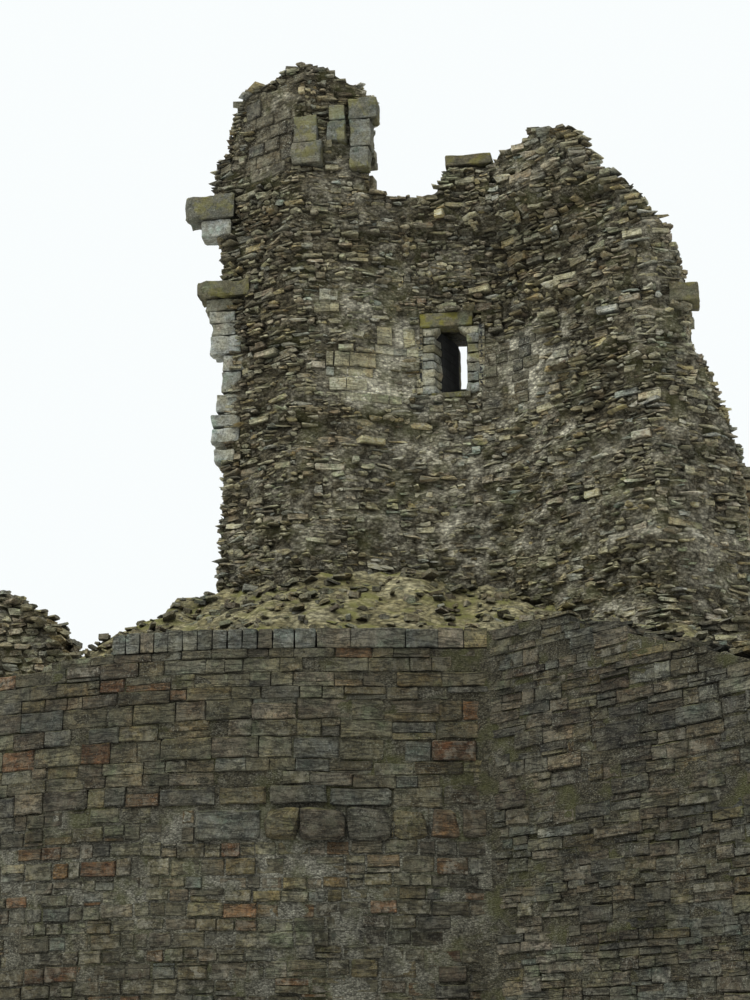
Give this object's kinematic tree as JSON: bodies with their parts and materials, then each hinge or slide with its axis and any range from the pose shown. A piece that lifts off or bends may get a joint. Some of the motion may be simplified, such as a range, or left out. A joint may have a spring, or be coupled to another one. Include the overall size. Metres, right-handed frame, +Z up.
{
  "type": "ruined castle keep",
  "caption": "Ruined stone keep: round-fronted base stage with coping and inner corner, rubble heap, and a tall broken wall with a narrow splayed window.",
  "frame": {"origin": "middle of the bounding box at ground level", "axes": "+Z up; the front with the round base wall looks toward -Y; +X is to the right seen from the front"},
  "size_m": [16.848, 11.4924, 24.15],
  "materials": {
    "rubble": "thin rough rubble beds in worn lime mortar",
    "coursed_stone": "squared sandstone in level courses, weathered",
    "dark_rubble": "small dark rubble courses, damp and weathered",
    "fallen_rubble": "loose fallen stones",
    "coping_stone": "rough dressed coping with lichen",
    "dressed_stone": "dressed blue-grey stone, worn edges"
  },
  "bodies": {
    "root": {"front_left": "coursed_stone", "front_step": "coursed_stone", "front_middle": "coursed_stone", "front_straight": "coursed_stone", "spur_wall": "dark_rubble", "left_side": "coursed_stone", "right_side": "coursed_stone", "rear_left": "coursed_stone", "rear_middle": "coursed_stone", "rear_right": "coursed_stone", "rubble_fill": "fallen_rubble", "rubble_mound": "fallen_rubble", "coping_uprights": "coping_stone", "coping_long": "coping_stone", "tower_left": "rubble", "tower_mid_left": "rubble", "left_bay": "rubble", "below_window": "rubble", "above_window": "rubble", "window_cheek_left": "rubble", "window_cheek_right": "rubble", "right_bay": "rubble", "tower_mid_right": "rubble", "tower_right": "rubble", "right_foot": "rubble", "haunch_left": "rubble", "haunch_right": "rubble", "turret": "rubble", "notch_rubble": "rubble", "wall_head_slab": "coping_stone", "right_hump": "rubble", "window_lintel": "dressed_stone", "window_soffit": "dressed_stone", "window_shoulders": "dressed_stone", "window_jamb_left": "dressed_stone", "window_jamb_right": "dressed_stone", "window_sill": "dressed_stone", "slit_stones": "dressed_stone", "slit_sill": "rubble", "quoins": "dressed_stone", "corbel_upper": "dressed_stone", "corbel_lower": "dressed_stone", "right_block": "dressed_stone", "turret_jambs": "dressed_stone", "far_left_stub": "rubble"}
  },
  "joints": []
}
